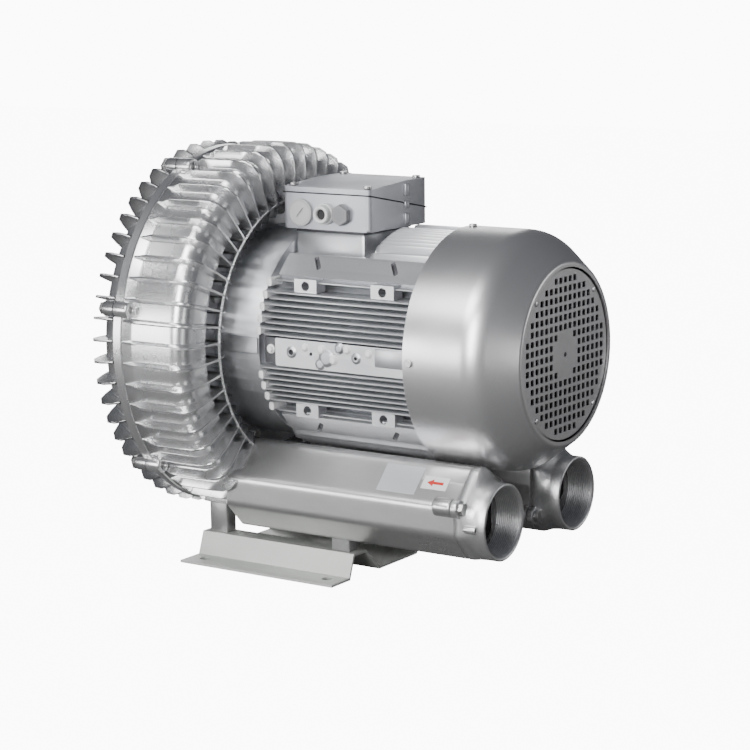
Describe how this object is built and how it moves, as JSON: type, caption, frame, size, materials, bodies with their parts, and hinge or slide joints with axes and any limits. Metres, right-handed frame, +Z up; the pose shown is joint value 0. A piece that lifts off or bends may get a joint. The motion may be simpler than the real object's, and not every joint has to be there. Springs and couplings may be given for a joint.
{
  "type": "side channel blower",
  "caption": "Side channel blower with finned ring casing, motor under a grille cowl, twin silencer ports and a base plate.",
  "frame": {"origin": "on the floor at the centre of the four foot bolt holes", "axes": "+Z up, the shaft lies along Y with the ring casing at +Y and the two ports facing -Y, the inlet leg at -X"},
  "size_m": [0.4247, 0.4855, 0.467],
  "materials": {
    "base_paint": "pale grey painted sheet steel",
    "cast_paint": "silver painted cast aluminium",
    "motor_paint": "silver grey painted cast aluminium",
    "cowl_paint": "smooth silver painted sheet steel",
    "bare_casting": "bare cast and machined aluminium",
    "zinc_screw": "zinc plated steel",
    "silencer_foam": "dark sound absorbing lining",
    "seal_rubber": "black rubber",
    "core_steel": "laminated electrical steel",
    "winding_copper": "varnished copper winding",
    "bearing_steel": "ground bearing steel",
    "fan_plastic": "black moulded plastic",
    "block_plastic": "dark moulded plastic",
    "stud_brass": "brass studs",
    "grey_plastic": "light grey moulded plastic"
  },
  "bodies": {
    "casing": {"base_plate": "base_paint", "blower_housing": "cast_paint", "housing_cover": "cast_paint", "cover_screws": "zinc_screw", "foot_screws": "zinc_screw", "inlet_port_flange": "bare_casting", "outlet_port_flange": "bare_casting", "port_flange_screws": "zinc_screw", "inlet_silencer_foam": "silencer_foam", "outlet_silencer_foam": "silencer_foam", "drive_end_bell": "motor_paint", "bell_screws": "zinc_screw", "shaft_seal": "seal_rubber", "motor_frame": "motor_paint", "stator_core": "core_steel", "stator_winding": "winding_copper", "rear_end_shield": "motor_paint", "drive_bearing_outer_ring": "bearing_steel", "fan_bearing_outer_ring": "bearing_steel", "wave_spring": "bearing_steel", "fan_cowl": "cowl_paint", "cowl_screws": "zinc_screw", "terminal_box_base": "motor_paint", "terminal_box_gasket": "seal_rubber", "terminal_box_lid": "motor_paint", "lid_screws": "zinc_screw", "terminal_block": "block_plastic", "terminal_studs": "stud_brass", "blanking_plug": "grey_plastic", "cable_gland": "grey_plastic", "hex_plug": "grey_plastic"},
    "rotor": {"rotor_shaft": "bearing_steel", "rotor_core": "core_steel", "impeller": "bare_casting", "impeller_key": "bearing_steel", "impeller_washer": "zinc_screw", "impeller_bolt": "zinc_screw", "cooling_fan": "fan_plastic", "fan_circlip": "bearing_steel", "drive_bearing_inner_ring": "bearing_steel", "fan_bearing_inner_ring": "bearing_steel"}
  },
  "joints": [
    {"name": "rotor_spin", "type": "hinge", "parent": "casing", "child": "rotor", "pos_m": [0, 0, 0.255], "axis": [0, 1, 0], "continuous": true}
  ]
}
